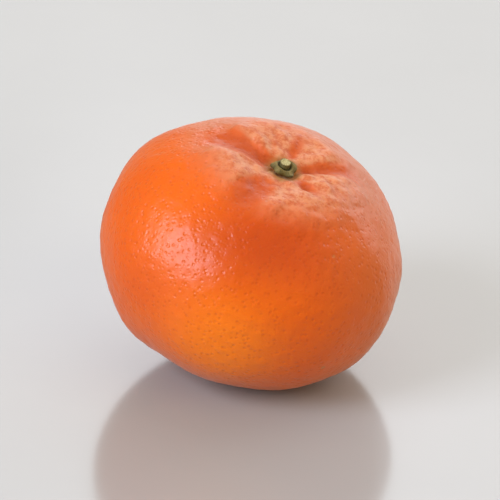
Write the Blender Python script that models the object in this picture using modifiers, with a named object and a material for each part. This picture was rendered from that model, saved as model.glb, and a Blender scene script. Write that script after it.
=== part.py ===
"""A whole mandarin as picked: the fruit, its dried calyx and the cut end of its stem.

Metres, +Z up. The fruit stands on its own flat spot at z = 0 with the middle of its plan
over the origin. Its stem end leans to +X and a little to -Y, the side it is seen from.
"""

import bmesh
import bpy
import numpy as np
from mathutils import Matrix

# Fruit: half sizes across and along the stem axis, and how square its section is.
EQUATOR_RADIUS = 0.0317
STEM_HEIGHT = 0.0239
NAVEL_HEIGHT = 0.0253
STEM_POWER = 2.10
NAVEL_POWER = 2.20
END_BLEND = 0.35

# Uneven girth: waves around the equator, then the cosine and sine shares of the radius.
GIRTH_WAVES = ((1, -0.031, -0.013), (2, 0.004, 0.0), (3, -0.012, 0.0))

# Fuller and flatter places: azimuth and elevation in the standing fruit (deg), height, and
# half width (deg). The last one brings the resting spot under the fruit's weight.
FULL_PLACES = (
    (-25.0, -34.0, 0.0008, 32.0),
    (199.0, -32.0, 0.0008, 14.0),
    (160.0, 32.0, 0.0007, 15.0),
    (5.0, 9.0, -0.0005, 20.0),
    (150.0, -66.0, 0.0022, 23.0),
)

# The stem axis leans from +Z, first about Y and then about X.
LEAN = np.radians(12.0)
NOD = np.radians(12.5)

# Neck: the hollow that the calyx sits in, and the shoulder around it.
HOLLOW_DEPTH = 0.0016
HOLLOW_RADIUS = 0.0076
PIT_DEPTH = 0.0006
PIT_RADIUS = 0.0030
SHOULDER_HEIGHT = 0.0012
SHOULDER_RADIUS = 0.0128
SHOULDER_WIDTH = 0.0050

# Each end's relief fades in between these two cosines of the angle from its axis.
NECK_FADE = (0.1, 0.5)
NAVEL_FADE = (0.3, 0.7)

# Furrows from the neck: azimuth about the stem (deg), depth, half width, where it starts and
# ends (distance from the stem axis), and how far it swings sideways (radians per metre out).
FURROWS = (
    (159.0, 0.0022, 0.0043, 0.0022, 0.0225, -4.0),
    (234.0, 0.0019, 0.0044, 0.0055, 0.0210, 0.0),
    (316.0, 0.0014, 0.0020, 0.0025, 0.0120, 3.0),
    (16.0, 0.0016, 0.0026, 0.0025, 0.0200, 0.0),
    (76.0, 0.0009, 0.0024, 0.0030, 0.0140, -8.0),
    (112.0, 0.0006, 0.0014, 0.0045, 0.0130, 8.0),
    (198.0, 0.0005, 0.0013, 0.0060, 0.0140, 5.0),
    (268.0, 0.0005, 0.0014, 0.0035, 0.0095, -6.0),
    (346.0, 0.0005, 0.0014, 0.0045, 0.0120, 6.0),
    (46.0, 0.0005, 0.0013, 0.0040, 0.0120, -6.0),
)
BANK_SHARE = 0.3
BANK_SPREAD = 2.2

# Along its ray a furrow is this share of its half width at the stem and gains the flare by
# its end. It deepens over the first span (in starts) and dies away over the last (in ends).
# Its banks fade out sideways between the cosines of FURROW_AHEAD, and it dies towards the
# equator between the cosines of FURROW_FADE.
FURROW_NARROW = 0.5
FURROW_FLARE = 0.7
FURROW_DEEPENS = (0.5, 2.0)
FURROW_DIES = (0.5, 1.0)
FURROW_AHEAD = (0.0, 0.5)
FURROW_FADE = (-0.15, 0.35)

# Navel: the small creased hollow opposite the stem.
NAVEL_DEPTH = 0.0010
NAVEL_RADIUS = 0.0055
CREASES = 9
CREASE_DEPTH = 0.00035
CREASE_RADIUS = 0.0045
CREASE_WIDTH = 0.0035
CREASE_DRIFT = 1.3

# Segments that show faintly through the peel.
SEGMENTS = 10
SEGMENT_HEIGHT = 0.00014
SEGMENT_DRIFT = 1.1
SEGMENT_PHASE = 0.4

# Uneven peel: (height, longest wave, shortest wave, number of waves, seed).
SWELL = (0.00016, 0.024, 0.011, 26, 11)
NECK_LUMPS = (0.00020, 0.0062, 0.0034, 30, 5)
LUMPS_REACH = 0.0170

# How far the resting fruit is pressed flat.
REST_PRESS = 0.0007

# Calyx: the dried star of five sepals with a rim around the stem's socket.
TOUCH_GAP = 0.00033
CALYX_RADIUS = 0.0028
SEPALS = 5
SEPAL_REACH = 0.14
SEPAL_TURN = np.radians(20.0)
SEPAL_THICKNESS = 0.00065
RIM_HEIGHT = 0.0006
RIM_RADIUS = 0.0019
RIM_WIDTH = 0.0007
SOCKET_RADIUS = 0.00155
SOCKET_EDGE = 0.0002
SOCKET_FLOOR = 0.0007

# Stem: what is left where it was cut.
STEM_RADIUS = 0.00115
STEM_LENGTH = 0.0012
STEM_CUT_EDGE = 0.00018
STEM_FOOT_TAPER = 0.94

# Base colours (linear) and roughness.
PEEL_COLOUR = (0.74, 0.11, 0.01)
PEEL_ROUGHNESS = 0.36
CALYX_COLOUR = (0.22, 0.16, 0.06)
CALYX_ROUGHNESS = 0.70
STEM_COLOUR = (0.21, 0.14, 0.06)
STEM_ROUGHNESS = 0.75

# Mesh densities.
FRUIT_SIDES = 76
FRUIT_RINGS = 50
RING_CROWDING = 0.5
CALYX_SIDES = 40
CALYX_RINGS = 24
STEM_SIDES = 24
WELD_REACH = 0.00005


def smooth(value, low, high):
    """0 below low, 1 above high, an S curve between."""
    part = np.clip((value - low) / (high - low), 0, 1)
    return part * part * (3 - 2 * part)


def bump(value, middle, width):
    """A bell of height 1 at middle."""
    return np.exp(-(((value - middle) / width) ** 2))


def plane_waves(points, settings):
    """A sum of sine waves that run in seeded directions through space."""
    height, longest, shortest, count, seed = settings
    rng = np.random.default_rng(seed)
    total = np.zeros(points.shape[:-1])
    for _ in range(count):
        direction = rng.normal(size=3)
        direction /= np.linalg.norm(direction)
        length = rng.uniform(shortest, longest)
        phase = rng.uniform(0, 2 * np.pi)
        total += np.sin(2 * np.pi * (points @ direction) / length + phase) * length / longest
    return height * total / np.sqrt(count / 2)


def body_radius(theta, phi):
    """Distance from the middle to the plain body: a superellipse whose two ends differ."""
    across, along = np.sin(theta), np.cos(theta)
    stem_share = 0.5 * (1 + np.tanh(along / END_BLEND))
    power = NAVEL_POWER + (STEM_POWER - NAVEL_POWER) * stem_share
    height = NAVEL_HEIGHT + (STEM_HEIGHT - NAVEL_HEIGHT) * stem_share
    radius = ((across / EQUATOR_RADIUS) ** power + (np.abs(along) / height) ** power) ** (-1 / power)
    girth = 1.0
    for waves, cosine, sine in GIRTH_WAVES:
        girth = girth + across**waves * (cosine * np.cos(waves * phi) + sine * np.sin(waves * phi))
    return radius * girth


def furrow_depth(phi, out, furrow):
    """A valley along one ray from the stem, with low banks at its sides."""
    azimuth, depth, width, start, end, swing = furrow
    turn = phi - np.radians(azimuth) - swing * out
    side = out * np.sin(turn) / (width * (FURROW_NARROW + FURROW_FLARE * out / end))
    valley = bump(side, 0, 1) - BANK_SHARE * bump(side, 0, BANK_SPREAD)
    run = smooth(out / start, *FURROW_DEEPENS) * (1 - smooth(out / end, *FURROW_DIES))
    return depth * valley * run * smooth(np.cos(turn), *FURROW_AHEAD)


def neck_relief(theta, phi, out):
    """Hollow, pit, shoulder and furrows of the stem end."""
    top = smooth(np.cos(theta), *NECK_FADE)
    relief = top * SHOULDER_HEIGHT * bump(out, SHOULDER_RADIUS, SHOULDER_WIDTH)
    relief -= top * HOLLOW_DEPTH * bump(out, 0, HOLLOW_RADIUS)
    relief -= top * PIT_DEPTH * np.exp(-((out / PIT_RADIUS) ** 4))
    wide_top = smooth(np.cos(theta), *FURROW_FADE)
    for furrow in FURROWS:
        relief -= wide_top * furrow_depth(phi, out, furrow)
    return relief


def navel_relief(theta, phi, out):
    """Creased hollow of the navel end."""
    bottom = smooth(-np.cos(theta), *NAVEL_FADE)
    drift = CREASE_DRIFT * np.sin(phi)
    creases = np.cos(CREASES * phi + drift) * bump(out, CREASE_RADIUS, CREASE_WIDTH)
    return -bottom * (NAVEL_DEPTH * bump(out, 0, NAVEL_RADIUS) + CREASE_DEPTH * creases)


def peel_relief(theta, phi, out, points):
    """Faint segments, slow swells, and lumps near the neck."""
    drift = SEGMENT_DRIFT * np.sin(2 * phi + SEGMENT_PHASE)
    segments = np.sin(theta) ** 2 * np.cos(SEGMENTS * phi + drift)
    near_neck = smooth(np.cos(theta), *NECK_FADE) * np.exp(-((out / LUMPS_REACH) ** 4))
    swell = plane_waves(points, SWELL)
    return SEGMENT_HEIGHT * segments + swell + near_neck * plane_waves(points, NECK_LUMPS)


def stem_turn():
    """Matrix from the stem axis to the standing fruit."""
    return np.array(Matrix.Rotation(NOD, 3, "X") @ Matrix.Rotation(LEAN, 3, "Y"))


def full_relief(directions):
    """Fuller places, each a bell around its own direction."""
    relief = np.zeros(directions.shape[:-1])
    for azimuth, elevation, height, width in FULL_PLACES:
        azimuth, elevation = np.radians(azimuth), np.radians(elevation)
        flat = np.cos(elevation)
        middle = np.array([flat * np.cos(azimuth), flat * np.sin(azimuth), np.sin(elevation)])
        away = np.arccos(np.clip(directions @ middle, -1, 1))
        relief += height * bump(away, 0, np.radians(width))
    return relief


def skin(theta, phi):
    """Points of the peel, turned as the fruit stands. theta is measured from the stem."""
    across = np.sin(theta)
    directions = np.stack([across * np.cos(phi), across * np.sin(phi), np.cos(theta)], -1)
    radius = body_radius(theta, phi)
    points = radius[..., None] * directions
    out = radius * across
    relief = neck_relief(theta, phi, out) + navel_relief(theta, phi, out)
    relief += peel_relief(theta, phi, out, points) + full_relief(directions @ stem_turn().T)
    return (points + relief[..., None] * directions) @ stem_turn().T


def standing_shift(points):
    """Move that centres the plan on the origin and sinks the lowest point by the press."""
    low, high = points.min(axis=0), points.max(axis=0)
    return -np.array([(low[0] + high[0]) / 2, (low[1] + high[1]) / 2, low[2] + REST_PRESS])


def new_object(name, mesh_data, material, collection):
    """Object with a mesh and a material, shaded smooth."""
    mesh = bpy.data.meshes.new(name)
    mesh_data.to_mesh(mesh)
    mesh_data.free()
    mesh.shade_smooth()
    mesh.materials.append(material)
    part = bpy.data.objects.new(name, mesh)
    collection.objects.link(part)
    return part


def new_material(name, colour, roughness):
    """Principled material without metal."""
    material = bpy.data.materials.new(name)
    material.use_nodes = True
    shader = material.node_tree.nodes["Principled BSDF"]
    shader.inputs["Base Color"].default_value = (*colour, 1)
    shader.inputs["Roughness"].default_value = roughness
    shader.inputs["Metallic"].default_value = 0
    return material


def peel_material():
    return new_material("mandarin_peel", PEEL_COLOUR, PEEL_ROUGHNESS)


def calyx_material():
    return new_material("dried_calyx", CALYX_COLOUR, CALYX_ROUGHNESS)


def stem_material():
    return new_material("cut_stem", STEM_COLOUR, STEM_ROUGHNESS)


def sphere_angles(ball):
    """theta from +Z and phi about it, for each vertex of a unit sphere."""
    points = np.array([vertex.co for vertex in ball.verts])
    theta = np.arccos(np.clip(points[:, 2], -1, 1))
    return theta, np.arctan2(points[:, 1], points[:, 0])


def place_vertices(ball, points):
    for vertex, point in zip(ball.verts, points):
        vertex.co = point


def make_fruit(collection):
    """Sphere with its vertices moved onto the skin and pressed flat below. Returns its shift."""
    ball = bmesh.new()
    bmesh.ops.create_uvsphere(ball, u_segments=FRUIT_SIDES, v_segments=FRUIT_RINGS, radius=1)
    theta, phi = sphere_angles(ball)
    theta = theta - RING_CROWDING * np.sin(2 * theta) / 2
    points = skin(theta, phi)
    shift = standing_shift(points)
    points = points + shift
    points[:, 2] = np.maximum(points[:, 2], 0)
    place_vertices(ball, points)
    new_object("fruit", ball, peel_material(), collection)
    return shift


def make_calyx(collection, shift):
    """Flat ball: its lower half follows the skin across a gap, its upper half is the star."""
    ball = bmesh.new()
    bmesh.ops.create_uvsphere(ball, u_segments=CALYX_SIDES, v_segments=CALYX_RINGS, radius=1)
    theta, phi = sphere_angles(ball)
    star = 1 + SEPAL_REACH * np.cos(SEPALS * (phi - SEPAL_TURN))
    out = CALYX_RADIUS * star * np.sin(theta)
    upper = SEPAL_THICKNESS + RIM_HEIGHT * bump(out, RIM_RADIUS, RIM_WIDTH)
    in_socket = 1 - smooth(out, SOCKET_RADIUS - SOCKET_EDGE, SOCKET_RADIUS)
    upper = upper + in_socket * (SOCKET_FLOOR - upper)
    lift = TOUCH_GAP + np.where(np.cos(theta) > 0, upper, 0)
    axis = stem_turn()[:, 2]
    points = skin(out / STEM_HEIGHT, phi) + shift + lift[:, None] * axis
    place_vertices(ball, points)
    new_object("calyx", ball, calyx_material(), collection)


def stem_profile():
    """Half section of the stub from the top of its axis down the outer side."""
    edge = [(0, STEM_LENGTH), (STEM_RADIUS - STEM_CUT_EDGE, STEM_LENGTH)]
    edge += [(STEM_RADIUS, STEM_LENGTH - STEM_CUT_EDGE), (STEM_RADIUS * STEM_FOOT_TAPER, 0)]
    return edge + [(0, 0)]


def make_stem(collection, shift):
    """Turned stub that stands in the calyx's socket, clear of its floor and wall."""
    section = bmesh.new()
    corners = [section.verts.new((x, 0, z)) for x, z in stem_profile()]
    for upper, lower in zip(corners, corners[1:]):
        section.edges.new((upper, lower))
    stub = new_object("stem_stub", section, stem_material(), collection)
    turn = stub.modifiers.new("turn", "SCREW")
    turn.steps = STEM_SIDES
    turn.render_steps = STEM_SIDES
    turn.use_merge_vertices = True
    turn.merge_threshold = WELD_REACH
    pole = skin(np.zeros(1), np.zeros(1))[0] + shift
    rise = TOUCH_GAP + SOCKET_FLOOR + TOUCH_GAP
    foot = pole + rise * stem_turn()[:, 2]
    stub.matrix_world = Matrix.Translation(foot) @ Matrix(stem_turn().tolist()).to_4x4()


def main():
    for old in list(bpy.data.objects):
        bpy.data.objects.remove(old)
    collection = bpy.data.collections.new("mandarin")
    bpy.context.scene.collection.children.link(collection)
    shift = make_fruit(collection)
    make_calyx(collection, shift)
    make_stem(collection, shift)


main()
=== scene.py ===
# A whole mandarin as picked: waxy pebbled peel, dried calyx star and the cut end of its stem.
# Each piece keeps the form of its CAD solid and carries the fine surface that a solid can't.
import math
import bpy
import numpy as np
from mathutils import Matrix, Vector


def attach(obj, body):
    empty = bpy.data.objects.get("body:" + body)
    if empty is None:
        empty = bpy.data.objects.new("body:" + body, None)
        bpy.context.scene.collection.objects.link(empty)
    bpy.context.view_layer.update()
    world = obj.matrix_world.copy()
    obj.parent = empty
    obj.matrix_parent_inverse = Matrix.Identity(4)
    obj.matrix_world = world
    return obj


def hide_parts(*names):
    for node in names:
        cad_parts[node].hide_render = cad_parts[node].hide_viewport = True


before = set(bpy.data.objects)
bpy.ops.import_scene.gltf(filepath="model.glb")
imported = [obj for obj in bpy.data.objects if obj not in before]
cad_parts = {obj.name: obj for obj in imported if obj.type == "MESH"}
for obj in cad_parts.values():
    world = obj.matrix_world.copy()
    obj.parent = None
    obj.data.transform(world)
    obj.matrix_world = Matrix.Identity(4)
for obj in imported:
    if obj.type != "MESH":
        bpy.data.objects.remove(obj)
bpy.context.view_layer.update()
print("frame loaded:", ", ".join(sorted(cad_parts)))


# Small helpers for shapes

def smooth(value, low, high):  # 0 below low, 1 above high, an S curve between
    part = np.clip((value - low) / (high - low), 0, 1)
    return part * part * (3 - 2 * part)


def bump(value, middle, width):  # a bell of height 1 at middle
    return np.exp(-(((value - middle) / width) ** 2))


# Sum of sine waves that run through space in seeded directions: height * sum(sin(k.p + phase))
def planeWaves(points, height, longest, shortest, count, seed):
    rng = np.random.default_rng(seed)
    total = np.zeros(points.shape[:-1])
    for _ in range(count):
        direction = rng.normal(size=3)
        direction /= np.linalg.norm(direction)
        length = rng.uniform(shortest, longest)
        phase = rng.uniform(0, 2 * np.pi)
        total += np.sin(2 * np.pi * (points @ direction) / length + phase) * length / longest
    return height * total / np.sqrt(count / 2)


# Closed ball from a grid of points: row 0 and the last row are single poles, columns wrap round
def ballMesh(name, grid, material, attributes=None):
    rows, columns = grid.shape[:2]
    ring = np.arange((rows - 2) * columns).reshape(rows - 2, columns) + 1
    nextRing = np.roll(ring, -1, axis=1)
    sides = np.stack([ring[:-1], ring[1:], nextRing[1:], nextRing[:-1]], -1).reshape(-1, 4)
    lastPole = (rows - 2) * columns + 1
    topFan = np.stack([np.zeros(columns, int), ring[0], nextRing[0]], -1)
    bottomFan = np.stack([np.full(columns, lastPole), nextRing[-1], ring[-1]], -1)
    points = np.concatenate([grid[0, :1], grid[1:-1].reshape(-1, 3), grid[-1, :1]])
    mesh = bpy.data.meshes.new(name)
    mesh.from_pydata(points.tolist(), [], sides.tolist() + topFan.tolist() + bottomFan.tolist())
    mesh.polygons.foreach_set("use_smooth", np.ones(len(mesh.polygons), bool))
    for key, values in (attributes or {}).items():
        flat = np.concatenate([values[0, :1], values[1:-1].reshape(-1), values[-1, :1]])
        mesh.attributes.new(key, "FLOAT", "POINT").data.foreach_set("value", flat.astype(np.float32))
    mesh.materials.append(material)
    mesh.update()
    piece = bpy.data.objects.new(name, mesh)
    bpy.context.scene.collection.objects.link(piece)
    return piece


# Angles of a ball grid: theta runs from pole to pole, phi once round
def ballAngles(rows, columns):
    theta = np.linspace(0, np.pi, rows)[:, None] + np.zeros((1, columns))
    phi = np.linspace(0, 2 * np.pi, columns, endpoint=False)[None, :] + np.zeros((rows, 1))
    return theta, phi


def settle(piece, node):  # the piece stands for the node: it hangs from the root body and the node's CAD part is hidden
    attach(piece, "root")
    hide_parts(node)
    print("piece made:", piece.name, len(piece.data.polygons), "faces")


# Small helpers for materials

def colour(hexCode):  # sRGB hex to linear RGBA
    channels = [int(hexCode[i:i + 2], 16) / 255 for i in (1, 3, 5)]
    linear = [c / 12.92 if c <= 0.04045 else ((c + 0.055) / 1.055) ** 2.4 for c in channels]
    return (*linear, 1)


def perMm(size):  # texture scale in metres of a pattern that repeats about every size mm
    return 1000 / size


def newMaterial(name):  # material, its tree and its shader
    material = bpy.data.materials.new(name)
    material.use_nodes = True
    return material, material.node_tree, material.node_tree.nodes["Principled BSDF"]


# One node, its settings, and its inputs: a value is set, a socket is linked
def addNode(tree, kind, inputs=None, **settings):
    node = tree.nodes.new(kind)
    for key, value in settings.items():
        setattr(node, key, value)
    for key, value in (inputs or {}).items():
        if isinstance(value, bpy.types.NodeSocket):
            tree.links.new(value, node.inputs[key])
        else:
            node.inputs[key].default_value = value
    return node


# Settings of the two nodes that most materials use: a soft mask and a mix of colours
softMask = dict(kind="ShaderNodeMapRange", interpolation_type="SMOOTHSTEP")
tintMix = dict(kind="ShaderNodeMix", data_type="RGBA")


# The fruit's form, the same as the CAD solid's, in metres and degrees

body = dict(
    equatorRadius=0.0317, stemHeight=0.0239, navelHeight=0.0253,
    stemPower=2.10, navelPower=2.20, endBlend=0.35,  # how square each end is, and how they meet
    girthWaves=((1, -0.031, -0.013), (2, 0.004, 0.0), (3, -0.012, 0.0)),  # waves, cosine and sine share
    lean=12.0, nod=12.5, restPress=0.0007,
    solidSides=76, solidRings=50, ringCrowding=0.5,  # the solid's own mesh, which places the fruit
)
fullPlaces = (  # azimuth, elevation, height, half width in degrees
    (-25.0, -34.0, 0.0008, 32.0),
    (199.0, -32.0, 0.0008, 14.0),
    (160.0, 32.0, 0.0007, 15.0),
    (5.0, 9.0, -0.0005, 20.0),
    (150.0, -66.0, 0.0022, 23.0),
)
neck = dict(
    hollowDepth=0.0016, hollowRadius=0.0076, pitDepth=0.0006, pitRadius=0.0030,
    shoulderHeight=0.0012, shoulderRadius=0.0128, shoulderWidth=0.0050,
    lumps=(0.00020, 0.0062, 0.0034, 30, 5), lumpsReach=0.0170,
    fade=(0.1, 0.5),  # cosines of the angle from the stem between which the neck fades in
)
furrows = (  # azimuth, depth, half width, start, end, swing in radians per metre
    (159.0, 0.0022, 0.0043, 0.0022, 0.0225, -4.0),
    (234.0, 0.0019, 0.0044, 0.0055, 0.0210, 0.0),
    (316.0, 0.0014, 0.0020, 0.0025, 0.0120, 3.0),
    (16.0, 0.0016, 0.0026, 0.0025, 0.0200, 0.0),
    (76.0, 0.0009, 0.0024, 0.0030, 0.0140, -8.0),
    (112.0, 0.0006, 0.0014, 0.0045, 0.0130, 8.0),
    (198.0, 0.0005, 0.0013, 0.0060, 0.0140, 5.0),
    (268.0, 0.0005, 0.0014, 0.0035, 0.0095, -6.0),
    (346.0, 0.0005, 0.0014, 0.0045, 0.0120, 6.0),
    (46.0, 0.0005, 0.0013, 0.0040, 0.0120, -6.0),
)
furrowShape = dict(
    bankShare=0.3, bankSpread=2.2, narrow=0.5, flare=0.7,
    deepens=(0.5, 2), dies=(0.5, 1),  # in starts and in ends of the furrow
    ahead=(0, 0.5), fade=(-0.15, 0.35),  # cosines sideways from its ray, and from the stem
)
navel = dict(
    depth=0.0010, radius=0.0055, fade=(0.3, 0.7),
    creases=9, creaseDepth=0.00035, creaseRadius=0.0045, creaseWidth=0.0035, creaseDrift=1.3,
)
segments = dict(count=10, height=0.00014, drift=1.1, phase=0.4, swell=(0.00016, 0.024, 0.011, 26, 11))


# Distance from the middle: a superellipse whose two ends differ, times the girth's slow waves
def bodyRadius(theta, phi):
    across, along = np.sin(theta), np.cos(theta)
    stemShare = 0.5 * (1 + np.tanh(along / body["endBlend"]))
    power = body["navelPower"] + (body["stemPower"] - body["navelPower"]) * stemShare
    height = body["navelHeight"] + (body["stemHeight"] - body["navelHeight"]) * stemShare
    radius = ((across / body["equatorRadius"]) ** power + (np.abs(along) / height) ** power) ** (-1 / power)
    girth = 1.0
    for waves, cosine, sine in body["girthWaves"]:
        girth = girth + across**waves * (cosine * np.cos(waves * phi) + sine * np.sin(waves * phi))
    return radius * girth


# Depth of the valleys that run out from the neck, each a bell across its ray with low banks
def furrowDepth(theta, phi, out):
    shape = furrowShape
    depthSum = np.zeros(theta.shape)
    for azimuth, depth, width, start, end, swing in furrows:
        turn = phi - np.radians(azimuth) - swing * out
        side = out * np.sin(turn) / (width * (shape["narrow"] + shape["flare"] * out / end))
        valley = bump(side, 0, 1) - shape["bankShare"] * bump(side, 0, shape["bankSpread"])
        deepened = smooth(out, shape["deepens"][0] * start, shape["deepens"][1] * start)
        run = deepened * (1 - smooth(out, shape["dies"][0] * end, shape["dies"][1] * end))
        depthSum += depth * valley * run * smooth(np.cos(turn), *shape["ahead"])
    return depthSum * smooth(np.cos(theta), *shape["fade"])


# Neck: shoulder ring minus hollow minus pit minus furrows. Navel: a creased hollow
def endRelief(theta, phi, out):
    top = smooth(np.cos(theta), *neck["fade"])
    relief = top * neck["shoulderHeight"] * bump(out, neck["shoulderRadius"], neck["shoulderWidth"])
    relief -= top * neck["hollowDepth"] * bump(out, 0, neck["hollowRadius"])
    relief -= top * neck["pitDepth"] * np.exp(-((out / neck["pitRadius"]) ** 4))
    relief -= furrowDepth(theta, phi, out)
    bottom = smooth(-np.cos(theta), *navel["fade"])
    creases = np.cos(navel["creases"] * phi + navel["creaseDrift"] * np.sin(phi))
    creases = navel["creaseDepth"] * (creases * bump(out, navel["creaseRadius"], navel["creaseWidth"]))
    return relief - bottom * (navel["depth"] * bump(out, 0, navel["radius"]) + creases)


# Share of the neck's relief: 1 by the stem, dying within reach of its axis and at the shoulder
def neckShare(theta, out, reach):
    return smooth(np.cos(theta), *neck["fade"]) * np.exp(-((out / reach) ** 4))


# Faint segments round the equator, slow swells, and lumps near the neck
def peelRelief(theta, phi, out, points):
    drift = segments["drift"] * np.sin(2 * phi + segments["phase"])
    ribs = np.sin(theta) ** 2 * np.cos(segments["count"] * phi + drift)
    lumps = neckShare(theta, out, neck["lumpsReach"]) * planeWaves(points, *neck["lumps"])
    return segments["height"] * ribs + planeWaves(points, *segments["swell"]) + lumps


def stemTurn():  # matrix from the stem axis to the standing fruit
    lean = Matrix.Rotation(np.radians(body["lean"]), 3, "Y")
    return np.array(Matrix.Rotation(np.radians(body["nod"]), 3, "X") @ lean)


# Fuller and flatter places: a bell of the angle away from each place's own direction
def fullRelief(directions):
    relief = np.zeros(directions.shape[:-1])
    for azimuth, elevation, height, width in fullPlaces:
        azimuth, elevation = np.radians(azimuth), np.radians(elevation)
        flat = np.cos(elevation)
        middle = np.array([flat * np.cos(azimuth), flat * np.sin(azimuth), np.sin(elevation)])
        away = np.arccos(np.clip(directions @ middle, -1, 1))
        relief += height * bump(away, 0, np.radians(width))
    return relief


# Point on the peel: direction * (body radius + all relief), turned from the stem axis to standing
def skin(theta, phi, fineRelief=None):
    across = np.sin(theta)
    directions = np.stack([across * np.cos(phi), across * np.sin(phi), np.cos(theta)], -1)
    radius = bodyRadius(theta, phi)
    points, out = radius[..., None] * directions, radius * across
    relief = endRelief(theta, phi, out) + peelRelief(theta, phi, out, points)
    relief = relief + fullRelief(directions @ stemTurn().T)
    if fineRelief is not None:
        relief = relief + fineRelief(theta, out, points)
    return (points + relief[..., None] * directions) @ stemTurn().T


# Move that stands the solid's own mesh with the middle of its plan over the origin
def standingShift():
    theta, phi = ballAngles(body["solidRings"] + 1, body["solidSides"])
    points = skin(theta - body["ringCrowding"] * np.sin(2 * theta) / 2, phi).reshape(-1, 3)
    low, high = points.min(axis=0), points.max(axis=0)
    return -np.array([(low[0] + high[0]) / 2, (low[1] + high[1]) / 2, low[2] + body["restPress"]])


shift = standingShift()
stemAxis = stemTurn()[:, 2]
stemPole = skin(np.zeros(1), np.zeros(1))[0] + shift
print("stem pole at", np.round(stemPole * 1000, 2), "mm")


# Peel: shares run from 0 to 1, places and reaches are in metres, and an edge gives the two
# values between which a mask fades

peel = dict(
    rows=222, columns=448, inset=0.00011, furrowFull=0.0009,
    pebbles=(0.000035, 0.0034, 0.0019, 60, 21),  # height, longest and shortest wave, count, seed
    neckPebbles=(0.000120, 0.0030, 0.0017, 70, 8), neckReach=0.0165, neckInset=0.00017,
    glandSpacing=1.2, smallGlandSpacing=0.8, pebbleSize=1.8, grainSize=0.30,  # mm
    glandDepth=0.075, smallGlandDepth=0.030, pebbleHeight=0.085, grainHeight=0.008,  # mm
    glandEdge=(0.44, 0.06), smallGlandEdge=(0.44, 0.08), glandShare=0.21,
    cloudSize=22, cloudEdge=(0.30, 0.70), mottleSize=1.6, mottleEdge=(0.30, 0.60),  # mm
    # ground colours: the yellow-orange is partly the peel's own tone and partly painted bounce light, the
    # deep orange is painted shade
    redOrange="#d65601", orange="#de6002", yellowAndBounceOrange="#fb8203", frontShadeOrange="#b53d01",
    # the yellower lower front: partly the peel's own tone, partly painted bounce light from the floor
    yellowAndBounceMiddle=(-0.005, -0.029, 0.018), yellowAndBounceDrift=0.012, yellowAndBounceEdge=(0.025, 0.008), yellowAndBounceShare=0.75,
    # painted shade: a darker band on the upper front below the neck, where little light falls
    frontShadeMiddle=(0.003, -0.025, 0.041), frontShadeSize=(0.018, 0.008, 0.009), frontShadeEdge=(1.60, 0.20), frontShadeShare=0.80,
    # painted shade and painted reflection: a duller, darker right side, out of the key light
    sideShadeAndSheen="#bd7846", sideShadeAndSheenMiddle=(0.034, -0.004, 0.026), sideShadeAndSheenEdge=(0.036, 0.008), sideShadeAndSheenShare=0.42,
    # painted sheen: a paler, pinker crown where the overhead lights reflect, kept off the valleys
    crownSheen="#c37452", crownSheenMiddle=(0.008, 0.004, 0.050), crownSheenDrift=0.0065, crownSheenEdge=(0.0303, 0.02055),
    crownSheenShare=0.60,
    # neck tan: the neck's own paler tone together with painted sheen, laid on its crests
    neckTanAndSheen="#d89a72", neckSpot="#b4521e", neckEdge=(0.0185, 0.009), neckShare=0.62,
    # painted shade: a darker red in the valleys of the neck
    furrowShadeRed="#b2420a", furrowShadeShare=0.68, crestEdge=(0.55, 0.02), valleyShare=0.22,
    stemOlive="#96783a", oliveEdge=(0.0050, 0.0028), oliveShare=0.6,
    glandDark="#b04002", scar="#b98350", scarSpacing=9, scarEdge=(0.075, 0.045), scarShare=0.5,
    waxEdge=(0.3, 0.7), waxRoughness=(0.40, 0.32), neckDullness=0.26, ior=1.42,
    waxBloom="#ffe2d0", sheen=0.14, sheenRoughness=0.42,
    glow=0.12, glowReach=(1.0, 0.35, 0.10), glowDepth=0.003,
)


# Fine pebbling: short plane waves, stronger on the neck
def finePeel(theta, out, points):
    onNeck = planeWaves(points, *peel["neckPebbles"]) - peel["neckInset"]
    onNeck = neckShare(theta, out, peel["neckReach"]) * onNeck
    return planeWaves(points, *peel["pebbles"]) + onNeck - peel["inset"]


# Oil glands, pebbles and grain of the peel: the pits of both gland sizes, the pebble noise, and
# the relief normal, whose height in mm is pebbles and grain up and glands down
def peelPores(tree, place):
    pits = []
    for size, randomness in (("gland", 0.85), ("smallGland", 1.0)):
        cells = addNode(tree, "ShaderNodeTexVoronoi",
                        {"Vector": place, "Scale": perMm(peel[size + "Spacing"]), "Randomness": randomness})
        low, high = peel[size + "Edge"]
        pits.append(addNode(tree, **softMask, inputs={
            "Value": cells.outputs["Distance"], "From Min": low, "From Max": high}).outputs["Result"])
    pebbles = addNode(tree, "ShaderNodeTexNoise", {
        "Vector": place, "Scale": perMm(peel["pebbleSize"]), "Detail": 2.0, "Roughness": 0.45}).outputs["Fac"]
    grain = addNode(tree, "ShaderNodeTexNoise", {
        "Vector": place, "Scale": perMm(peel["grainSize"]), "Detail": 2.0}).outputs["Fac"]
    raised = 0.0
    for layer, height in ((pebbles, peel["pebbleHeight"]), (grain, peel["grainHeight"]),
                          (pits[0], -peel["glandDepth"]), (pits[1], -peel["smallGlandDepth"])):
        raised = addNode(tree, "ShaderNodeMath", {0: layer, 1: height, 2: raised},
                         operation="MULTIPLY_ADD").outputs[0]
    relief = addNode(tree, "ShaderNodeBump", {"Height": raised, "Distance": 0.001, "Strength": 1.0})
    return pits[0], pebbles, relief.outputs["Normal"]


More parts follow.
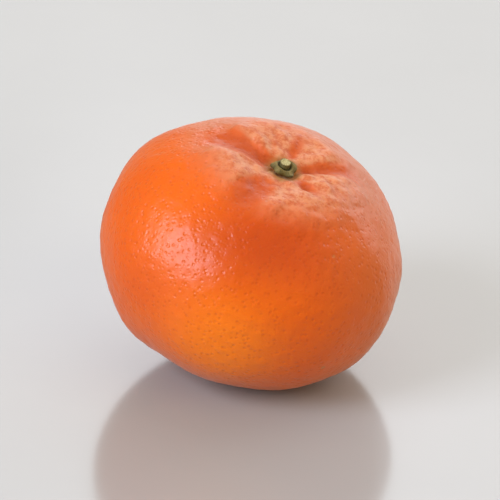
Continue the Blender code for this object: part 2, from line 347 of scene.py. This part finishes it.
# Waxed citrus peel: a satin skin over bright orange rind, pitted by oil glands that break its
# highlights into specks. Light goes a few millimetres into it, which softens the shading
def waxyCitrusPeel():
    material, tree, shader = newMaterial("waxyCitrusPeel")
    place = addNode(tree, "ShaderNodeTexCoord").outputs["Object"]
    bigPit, pebbles, normal = peelPores(tree, place)

    # patterns: slow clouds, fine mottling, rare scars, and the furrows' own depth
    clouds = addNode(tree, "ShaderNodeTexNoise", {
        "Vector": place, "Scale": perMm(peel["cloudSize"]), "Detail": 2.0}).outputs["Fac"]
    mottle = addNode(tree, "ShaderNodeTexNoise", {
        "Vector": place, "Scale": perMm(peel["mottleSize"]), "Detail": 4.0, "Roughness": 0.65}).outputs["Fac"]
    scars = addNode(tree, "ShaderNodeTexVoronoi", {
        "Vector": place, "Scale": perMm(peel["scarSpacing"]), "Randomness": 1.0}).outputs["Distance"]
    furrow = addNode(tree, "ShaderNodeAttribute", attribute_name="furrow").outputs["Fac"]

    # distances from the middles of the tinted and painted areas; those of the yellow front (partly painted
    # bounce light) and of the painted crown sheen wander with a pattern, and that of the painted front
    # shade is stretched
    away = {}
    for area, middle in (("yellowAndBounce", peel["yellowAndBounceMiddle"]), ("sideShadeAndSheen", peel["sideShadeAndSheenMiddle"]),
                         ("crownSheen", peel["crownSheenMiddle"]), ("stem", tuple(stemPole))):
        away[area] = addNode(tree, "ShaderNodeVectorMath", {0: place, 1: middle},
                             operation="DISTANCE").outputs["Value"]
    for area, pattern in (("yellowAndBounce", clouds), ("crownSheen", mottle)):
        away[area] = addNode(tree, "ShaderNodeMath", {0: pattern, 1: peel[area + "Drift"], 2: away[area]},
                             operation="MULTIPLY_ADD").outputs[0]
    frontShadePlace = addNode(tree, "ShaderNodeMapping", {
        "Vector": place, "Location": peel["frontShadeMiddle"], "Scale": peel["frontShadeSize"]},
        vector_type="TEXTURE").outputs["Vector"]
    away["frontShade"] = addNode(tree, "ShaderNodeVectorMath", {0: frontShadePlace},
                           operation="LENGTH").outputs["Value"]

    # masks: each fades over its edge from the first share to the second
    mask = {}
    for area, value, first, second in (
        ("cloud", clouds, 0, 1), ("mottle", mottle, 0, 1), ("crest", furrow, peel["valleyShare"], 1),
        ("yellowAndBounce", away["yellowAndBounce"], 0, peel["yellowAndBounceShare"]),
        ("frontShade", away["frontShade"], 0, peel["frontShadeShare"]),
        ("sideShadeAndSheen", away["sideShadeAndSheen"], 0, peel["sideShadeAndSheenShare"]), ("crownSheen", away["crownSheen"], 0, peel["crownSheenShare"]),
        ("neck", away["stem"], 0, peel["neckShare"]), ("olive", away["stem"], 0, peel["oliveShare"]),
        ("scar", scars, 0, peel["scarShare"]),
    ):
        low, high = peel[area + "Edge"]
        mask[area] = addNode(tree, **softMask, inputs={
            "Value": value, "From Min": low, "From Max": high, "To Min": first, "To Max": second},
        ).outputs["Result"]
    gaps = addNode(tree, "ShaderNodeMath", {0: 1.0, 1: mask["mottle"]}, operation="SUBTRACT").outputs[0]
    # tan with painted sheen, on the neck's crests only
    tan = addNode(tree, "ShaderNodeMath", {0: mask["neck"], 1: mask["crest"]},
                  operation="MULTIPLY").outputs[0]
    for area, one, other in (
        ("crownSheen", mask["crownSheen"], mask["crest"]), ("tan", tan, mask["mottle"]), ("spot", gaps, mask["neck"]),
        ("furrow", furrow, peel["furrowShadeShare"]), ("gland", bigPit, peel["glandShare"]),
    ):
        mask[area] = addNode(tree, "ShaderNodeMath", {0: one, 1: other}, operation="MULTIPLY").outputs[0]

    # colour, from the ground up: yellow front, partly its own tone and partly painted bounce light from the
    # floor;
    # painted shade on the upper front; painted shade and painted reflection on the right side; painted sheen
    # on the crown; tan neck with painted sheen on its crests, and its spots; painted shade in the valleys;
    # olive round the stem, dark oil glands, and scars from a twig
    ground = colour(peel["redOrange"])
    for area, tint in (
        ("cloud", "orange"), ("yellowAndBounce", "yellowAndBounceOrange"), ("frontShade", "frontShadeOrange"), ("sideShadeAndSheen", "sideShadeAndSheen"),
        ("crownSheen", "crownSheen"), ("tan", "neckTanAndSheen"), ("spot", "neckSpot"), ("furrow", "furrowShadeRed"),
        ("olive", "stemOlive"), ("gland", "glandDark"), ("scar", "scar"),
    ):
        ground = addNode(tree, **tintMix, inputs={
            "Factor": mask[area], 6: ground, 7: colour(peel[tint])}).outputs[2]

    # wax: glossier on the pebbles' tops, duller on the neck
    wax = addNode(tree, "ShaderNodeMapRange", {
        "Value": pebbles, "From Min": peel["waxEdge"][0], "From Max": peel["waxEdge"][1],
        "To Min": peel["waxRoughness"][0], "To Max": peel["waxRoughness"][1]}).outputs["Result"]
    dull = addNode(tree, "ShaderNodeMath", {0: mask["neck"], 1: peel["neckDullness"], 2: wax},
                   operation="MULTIPLY_ADD").outputs[0]
    tree.links.new(ground, shader.inputs["Base Color"])
    tree.links.new(dull, shader.inputs["Roughness"])
    tree.links.new(normal, shader.inputs["Normal"])
    shader.inputs["IOR"].default_value = peel["ior"]
    shader.inputs["Sheen Weight"].default_value = peel["sheen"]
    shader.inputs["Sheen Roughness"].default_value = peel["sheenRoughness"]
    shader.inputs["Sheen Tint"].default_value = colour(peel["waxBloom"])
    shader.inputs["Subsurface Weight"].default_value = peel["glow"]
    shader.inputs["Subsurface Radius"].default_value = peel["glowReach"]
    shader.inputs["Subsurface Scale"].default_value = peel["glowDepth"]
    return material


# The peel is the fruit's skin on a fine grid, pressed flat where it rests
def makePeel():
    theta, phi = ballAngles(peel["rows"], peel["columns"])
    grid = skin(theta, phi, finePeel) + shift
    grid[..., 2] = np.maximum(grid[..., 2], 0)
    depth = furrowDepth(theta, phi, bodyRadius(theta, phi) * np.sin(theta))
    furrow = np.clip(depth / peel["furrowFull"], 0, 1)
    settle(ballMesh("mandarinPeel", grid, waxyCitrusPeel(), {"furrow": furrow}), "fruit")


# Calyx

calyx = dict(
    rows=80, columns=160, touchGap=0.00033, radius=0.0028, sepals=5, reach=0.14, turn=20.0,
    thickness=0.00065, tipThin=0.35, tipPower=6, rimHeight=0.0006, rimRadius=0.0019, rimWidth=0.0007,
    socketRadius=0.00155, socketEdge=0.0002, socketFloor=0.0007,
    midribHeight=0.00010, midribStart=(0.5, 0.8), midribEnd=(0.92, 1.0),  # shares of the way out
    wrinkleHeight=0.000045, wrinkles=31, wrinkleStart=(0.0012, 0.0020), wrinkleEnd=(0.9, 1.0),
    rimLine=0.0003, ridgeShares=(0.55, 0.45, 0.15),  # of midribs, rim and wrinkles in the pale colour
    oliveDark="#4a4420", olive="#6e6232", strawTip="#968450",
    blotchSize=1.1, blotchEdge=(0.35, 0.65), veinSize=0.35, veinDepth=0.00005, roughness=0.72,
)


# Dried calyx tissue: matt, papery plant matter, olive in its folds and straw-coloured on ridges
def driedCalyx():
    material, tree, shader = newMaterial("driedCalyx")
    place = addNode(tree, "ShaderNodeTexCoord").outputs["Object"]
    blotches = addNode(tree, "ShaderNodeTexNoise", {
        "Vector": place, "Scale": perMm(calyx["blotchSize"]), "Detail": 4.0}).outputs["Fac"]
    veins = addNode(tree, "ShaderNodeTexNoise", {
        "Vector": place, "Scale": perMm(calyx["veinSize"]), "Detail": 3.0}).outputs["Fac"]
    ridge = addNode(tree, "ShaderNodeAttribute", attribute_name="ridge").outputs["Fac"]
    low, high = calyx["blotchEdge"]
    blotchMask = addNode(tree, **softMask, inputs={
        "Value": blotches, "From Min": low, "From Max": high}).outputs["Result"]
    ground = addNode(tree, **tintMix, inputs={
        "Factor": blotchMask, 6: colour(calyx["oliveDark"]), 7: colour(calyx["olive"])}).outputs[2]
    ground = addNode(tree, **tintMix, inputs={
        "Factor": ridge, 6: ground, 7: colour(calyx["strawTip"])}).outputs[2]
    relief = addNode(tree, "ShaderNodeBump", {
        "Height": veins, "Distance": calyx["veinDepth"], "Strength": 1.0})
    tree.links.new(ground, shader.inputs["Base Color"])
    tree.links.new(relief.outputs["Normal"], shader.inputs["Normal"])
    shader.inputs["Roughness"].default_value = calyx["roughness"]
    return material


# Star-shaped cap: the lower half follows the skin across the gap, the upper half adds sepals
# with midribs and wrinkles, a rim, and the socket that the stem stands in
def makeCalyx():
    theta, phi = ballAngles(calyx["rows"], calyx["columns"])
    around = calyx["sepals"] * (phi - np.radians(calyx["turn"]))
    edge = calyx["radius"] * (1 + calyx["reach"] * np.cos(around))
    outShare = np.sin(theta)
    out = edge * outShare
    upper = calyx["thickness"] * (1 - calyx["tipThin"] * outShare ** calyx["tipPower"])
    upper = upper + calyx["rimHeight"] * bump(out, calyx["rimRadius"], calyx["rimWidth"])
    wrinkle = np.cos(calyx["wrinkles"] * phi + 2 * np.sin(3 * phi)) * smooth(out, *calyx["wrinkleStart"])
    wrinkle = wrinkle * (1 - smooth(outShare, *calyx["wrinkleEnd"]))
    midrib = np.maximum(np.cos(around), 0) ** 2 * smooth(outShare, *calyx["midribStart"])
    midrib = midrib * (1 - smooth(outShare, *calyx["midribEnd"]))
    upper = upper + calyx["wrinkleHeight"] * wrinkle + calyx["midribHeight"] * midrib
    inSocket = 1 - smooth(out, calyx["socketRadius"] - calyx["socketEdge"], calyx["socketRadius"])
    upper = upper + inSocket * (calyx["socketFloor"] - upper)
    lift = calyx["touchGap"] + np.where(np.cos(theta) > 0, upper, 0)
    grid = skin(out / body["stemHeight"], phi) + shift + lift[..., None] * stemAxis
    ofMidrib, ofRim, ofWrinkle = calyx["ridgeShares"]
    rimLine = bump(out, calyx["rimRadius"], calyx["rimLine"])
    ridge = np.clip(ofMidrib * midrib + ofRim * rimLine + ofWrinkle * wrinkle, 0, 1)
    settle(ballMesh("calyxStar", grid, driedCalyx(), {"ridge": ridge}), "calyx")


# Stem stub

stem = dict(
    columns=96, radius=0.00115, length=0.0012, cutEdge=0.00018, footTaper=0.94,
    cutDish=0.00010, cutRings=14, sideRings=12, footRings=4,
    fibres=17, fibreDepth=0.03, fibreDrift=1.5,
    barkDark="#45401f", bark="#6e6436", cutPale="#c6bb8a", cutDark="#8f8450",
    fibreSize=0.35, fibreEdge=(0.35, 0.65), grainDepth=0.00008, roughness=0.8,
)


# Cut twig: dull brown bark round a pale fibrous cut that has dried and darkened
def cutTwig():
    material, tree, shader = newMaterial("cutTwig")
    place = addNode(tree, "ShaderNodeTexCoord").outputs["Object"]
    fibres = addNode(tree, "ShaderNodeTexNoise", {
        "Vector": place, "Scale": perMm(stem["fibreSize"]), "Detail": 4.0, "Roughness": 0.65}).outputs["Fac"]
    low, high = stem["fibreEdge"]
    fibreMask = addNode(tree, **softMask, inputs={
        "Value": fibres, "From Min": low, "From Max": high}).outputs["Result"]
    cut = addNode(tree, "ShaderNodeAttribute", attribute_name="cut").outputs["Fac"]
    bark = addNode(tree, **tintMix, inputs={
        "Factor": fibreMask, 6: colour(stem["barkDark"]), 7: colour(stem["bark"])}).outputs[2]
    wood = addNode(tree, **tintMix, inputs={
        "Factor": fibreMask, 6: colour(stem["cutDark"]), 7: colour(stem["cutPale"])}).outputs[2]
    ground = addNode(tree, **tintMix, inputs={"Factor": cut, 6: bark, 7: wood}).outputs[2]
    relief = addNode(tree, "ShaderNodeBump", {
        "Height": fibres, "Distance": stem["grainDepth"], "Strength": 1.0})
    tree.links.new(ground, shader.inputs["Base Color"])
    tree.links.new(relief.outputs["Normal"], shader.inputs["Normal"])
    shader.inputs["Roughness"].default_value = stem["roughness"]
    return material


# Turned stub: a half section from the dished cut over a bevel and down the bark, carried round
# with a little waviness for its fibres
def makeStem():
    radius, length, edge = stem["radius"], stem["length"], stem["cutEdge"]
    cutOut = np.linspace(0, radius - edge, stem["cutRings"])
    cutUp = length - stem["cutDish"] * (1 - (cutOut / (radius - edge)) ** 2)
    down = np.linspace(0, 1, stem["sideRings"])
    sideOut = radius * (1 + (stem["footTaper"] - 1) * down)
    sideUp = (length - edge) * (1 - down)
    footOut = np.linspace(radius * stem["footTaper"], 0, stem["footRings"] + 1)[1:]
    sectionOut = np.concatenate([cutOut, sideOut, footOut])
    sectionUp = np.concatenate([cutUp, sideUp, np.zeros(stem["footRings"])])
    phi = np.linspace(0, 2 * np.pi, stem["columns"], endpoint=False)[None, :]
    ripple = np.cos(stem["fibres"] * phi + stem["fibreDrift"] * np.sin(2 * phi))
    out = sectionOut[:, None] * (1 - stem["fibreDepth"] * (0.5 + 0.5 * ripple))
    up = sectionUp[:, None] + np.zeros(phi.shape)
    local = np.stack([out * np.cos(phi), out * np.sin(phi), up], -1)
    rise = 2 * calyx["touchGap"] + calyx["socketFloor"]
    grid = local @ stemTurn().T + stemPole + rise * stemAxis
    isCut = np.where(np.arange(len(sectionOut)) < stem["cutRings"], 1.0, 0.0)[:, None] + np.zeros(phi.shape)
    settle(ballMesh("stemStub", grid, cutTwig(), {"cut": isCut}), "stem_stub")


makePeel()
makeCalyx()
makeStem()


# Studio: a plain pale floor, four soft lights and a soft surround

studio = dict(
    floorSize=3.0, floorPale="#a5a6a7", floorCloud="#9c9d9e", cloudSize=60,  # m, and mm for the clouds
    floorRoughness=0.14, floorIor=1.65,
    keyPlace=(-0.82, -0.52, 0.62), keySize=(0.54, 0.72), keyPower=13.2, keyColour=(0.94, 0.97, 1.10),
    topPlace=(0.32, 0.55, 1.02), topSize=(1.6, 1.4), topPower=4.3, topColour=(0.96, 0.98, 1.08),
    backPlace=(0.68, 1.18, 0.56), backSize=(2.1, 0.90), backPower=11.5, backColour=(0.97, 0.99, 1.05),
    fillPlace=(0.85, -0.75, 0.70), fillSize=(1.2, 1.2), fillPower=8.0, fillColour=(1.0, 0.84, 0.60),
    aimHeight=0.026, surround=0.41, surroundColour=(1.0, 0.90, 0.64),
)


# Honed pale stone: nearly even, with faint clouds and a satin sheen that mirrors the fruit softly
def honedPaleStone():
    material, tree, shader = newMaterial("honedPaleStone")
    place = addNode(tree, "ShaderNodeTexCoord").outputs["Object"]
    clouds = addNode(tree, "ShaderNodeTexNoise", {
        "Vector": place, "Scale": perMm(studio["cloudSize"]), "Detail": 4.0}).outputs["Fac"]
    ground = addNode(tree, **tintMix, inputs={
        "Factor": clouds, 6: colour(studio["floorCloud"]), 7: colour(studio["floorPale"])}).outputs[2]
    tree.links.new(ground, shader.inputs["Base Color"])
    shader.inputs["Roughness"].default_value = studio["floorRoughness"]
    shader.inputs["IOR"].default_value = studio["floorIor"]
    return material


def makeFloor():
    half = studio["floorSize"] / 2
    mesh = bpy.data.meshes.new("studioFloor")
    corners = [(-half, -half, 0), (half, -half, 0), (half, half, 0), (-half, half, 0)]
    mesh.from_pydata(corners, [], [(0, 1, 2, 3)])
    mesh.materials.append(honedPaleStone())
    floor = bpy.data.objects.new("studioFloor", mesh)
    bpy.context.scene.collection.objects.link(floor)


# A rectangular soft light aimed at the fruit's middle
def makeSoftLight(name, place, size, power, tint):
    light = bpy.data.lights.new(name, "AREA")
    light.shape = "RECTANGLE"
    light.size, light.size_y = size
    light.energy = power
    light.color = tint
    lamp = bpy.data.objects.new(name, light)
    lamp.location = place
    lamp.rotation_mode = "QUATERNION"
    lamp.rotation_quaternion = (Vector((0, 0, studio["aimHeight"])) - Vector(place)).to_track_quat("-Z", "Y")
    lamp.visible_glossy = name != "fillPanel"  # the fill only lightens shade, no highlight shows it
    bpy.context.scene.collection.objects.link(lamp)


def makeSurround():
    world = bpy.data.worlds.new("softSurround")
    world.use_nodes = True
    background = world.node_tree.nodes["Background"]
    background.inputs["Color"].default_value = (*studio["surroundColour"], 1)
    background.inputs["Strength"].default_value = studio["surround"]
    bpy.context.scene.world = world
    bpy.context.scene.view_settings.view_transform = "Standard"


makeFloor()
for lightName in ("key", "top", "back", "fill"):
    settings = [studio[lightName + part] for part in ("Place", "Size", "Power", "Colour")]
    makeSoftLight(lightName + "Panel", *settings)
makeSurround()
print("studio made")


# Camera: the photograph's own direction and distance, close in on the one fruit

camera = dict(
    target=(-0.00025, 0.0, 0.0259), elevation=27.4, distance=1.175, roll=2.4,
    sensor=36.0, focalPixels=1400, framePixels=125,  # of the photograph's 500, the width in view
)


def makeCamera():
    tilt = math.radians(camera["elevation"])
    back = Vector((0, -math.cos(tilt), math.sin(tilt)))
    data = bpy.data.cameras.new("camera")
    data.sensor_width = camera["sensor"]
    data.lens = camera["sensor"] * camera["focalPixels"] / camera["framePixels"]
    viewer = bpy.data.objects.new("camera", data)
    aim = (-back).to_track_quat("-Z", "Y").to_matrix().to_4x4()
    place = Matrix.Translation(Vector(camera["target"]) + back * camera["distance"])
    viewer.matrix_world = place @ aim @ Matrix.Rotation(math.radians(camera["roll"]), 4, "Z")
    bpy.context.scene.collection.objects.link(viewer)
    bpy.context.scene.camera = viewer


makeCamera()
print("camera made")
